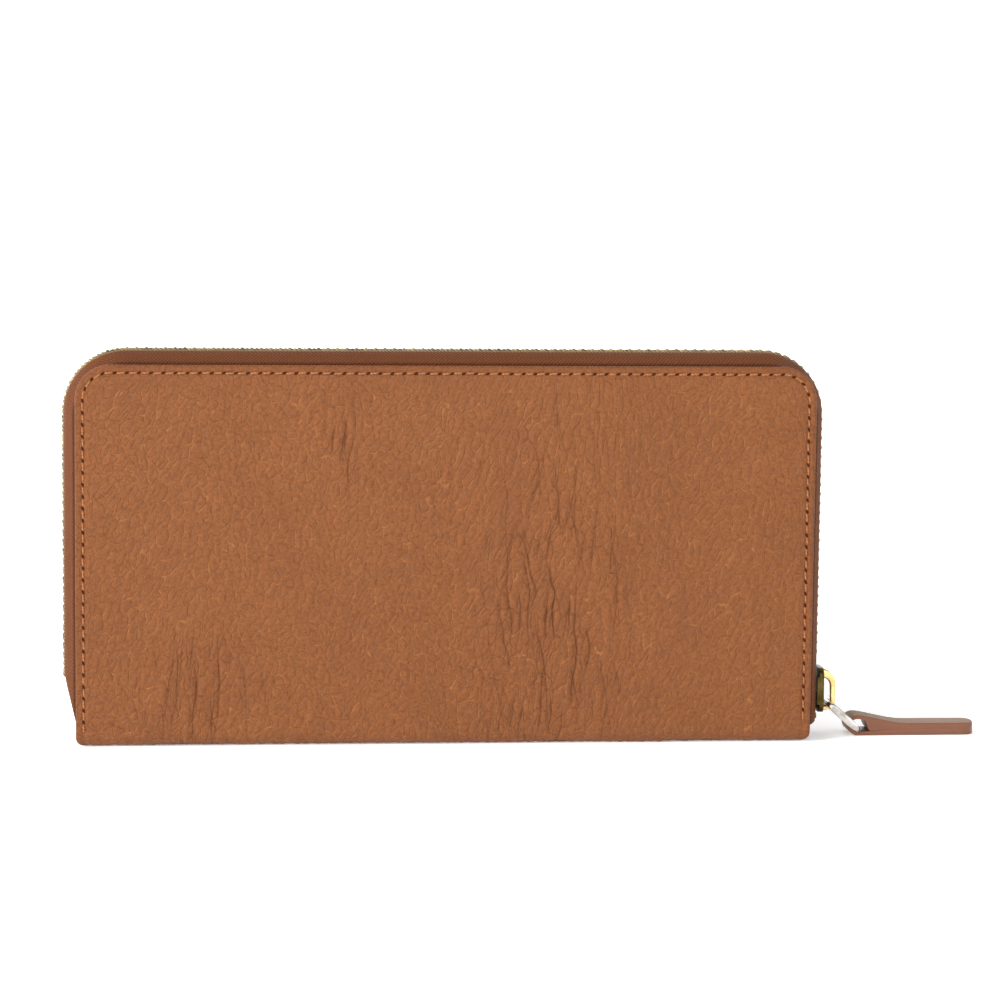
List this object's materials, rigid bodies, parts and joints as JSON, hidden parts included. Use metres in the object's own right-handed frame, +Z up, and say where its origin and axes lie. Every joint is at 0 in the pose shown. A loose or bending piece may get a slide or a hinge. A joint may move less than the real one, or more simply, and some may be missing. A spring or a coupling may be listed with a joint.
{
  "type": "zip around wallet",
  "caption": "Long zip around wallet of pebbled leather standing on its spine, with a metal zip, pull strap, card pockets and a zipped coin pocket.",
  "frame": {"origin": "centre of the spine's underside, which is the face that the wallet stands on", "axes": "+X along the width towards the pull, +Y from the front cover to the rear cover, +Z up"},
  "size_m": [0.2393, 0.025, 0.1016],
  "materials": {
    "cover_leather": "pebbled full grain, satin",
    "strap_leather": "smooth, painted edges",
    "pocket_leather": "smooth, satin",
    "binding": "ribbed binding tape",
    "board": "matt board",
    "lining": "fine twill",
    "zip_tape": "herringbone weave",
    "zip_metal": "polished",
    "slider_metal": "polished",
    "ring_metal": "polished",
    "thread": "waxed thread"
  },
  "bodies": {
    "root": {"spine_leather": "cover_leather", "spine_board": "board", "spine_lining": "lining", "front_fold": "cover_leather", "rear_fold": "cover_leather", "gusset_front_left": "lining", "gusset_front_right": "lining", "gusset_rear_left": "lining", "gusset_rear_right": "lining", "coin_wall_front": "pocket_leather", "coin_wall_rear": "pocket_leather", "coin_binding": "binding", "coin_tape_front": "zip_tape", "coin_tape_rear": "zip_tape", "coin_teeth_front": "zip_metal", "coin_teeth_rear": "zip_metal"},
    "front_half": {"front_leather": "cover_leather", "front_board": "board", "front_lining": "lining", "front_tape": "zip_tape", "front_teeth": "zip_metal", "front_stops": "zip_metal", "front_stitching": "thread", "front_cards_1": "pocket_leather", "front_cards_2": "pocket_leather", "front_cards_3": "pocket_leather", "front_cards_4": "pocket_leather"},
    "rear_half": {"rear_leather": "cover_leather", "rear_board": "board", "rear_lining": "lining", "rear_tape": "zip_tape", "rear_teeth": "zip_metal", "rear_stops": "zip_metal", "rear_stitching": "thread", "rear_cards_1": "pocket_leather", "rear_cards_2": "pocket_leather", "rear_cards_3": "pocket_leather", "rear_cards_4": "pocket_leather"},
    "slider": {"slider_body": "slider_metal", "slider_crown": "slider_metal"},
    "ring": {"pull_ring": "ring_metal"},
    "strap": {"pull_strap": "strap_leather"},
    "coin_slider": {"coin_slider_body": "slider_metal"},
    "coin_tab": {"coin_tab": "slider_metal"}
  },
  "joints": [
    {"name": "front_open", "type": "hinge", "parent": "root", "child": "front_half", "pos_m": [0, -0.009, 0.0035], "axis": [1, 0, 0], "range_deg": [0, 20], "deforming": ["front_fold", "gusset_front_left", "gusset_front_right"]},
    {"name": "rear_open", "type": "hinge", "parent": "root", "child": "rear_half", "pos_m": [0, 0.009, 0.0035], "axis": [-1, 0, 0], "range_deg": [0, 20], "deforming": ["rear_fold", "gusset_rear_left", "gusset_rear_right"]},
    {"name": "slider_run", "type": "slide", "parent": "front_half", "child": "slider", "axis": [0, 0, 1], "range_m": [0, 0.064], "deforming": ["front_teeth", "rear_teeth"]},
    {"name": "ring_swing", "type": "hinge", "parent": "slider", "child": "ring", "pos_m": [0.10155, 0, 0.00845], "axis": [0, -1, 0], "range_deg": [-35, 60]},
    {"name": "strap_swing", "type": "hinge", "parent": "ring", "child": "strap", "pos_m": [0.1092, 0, 0.00185], "axis": [0, -1, 0], "range_deg": [-80, 45]},
    {"name": "coin_slider_run", "type": "slide", "parent": "root", "child": "coin_slider", "axis": [-1, 0, 0], "range_m": [0, 0.14], "deforming": ["coin_teeth_front", "coin_teeth_rear"]},
    {"name": "coin_tab_swing", "type": "hinge", "parent": "coin_slider", "child": "coin_tab", "pos_m": [0.0775, 0, 0.0835], "axis": [0, 1, 0], "range_deg": [0, 170]}
  ]
}
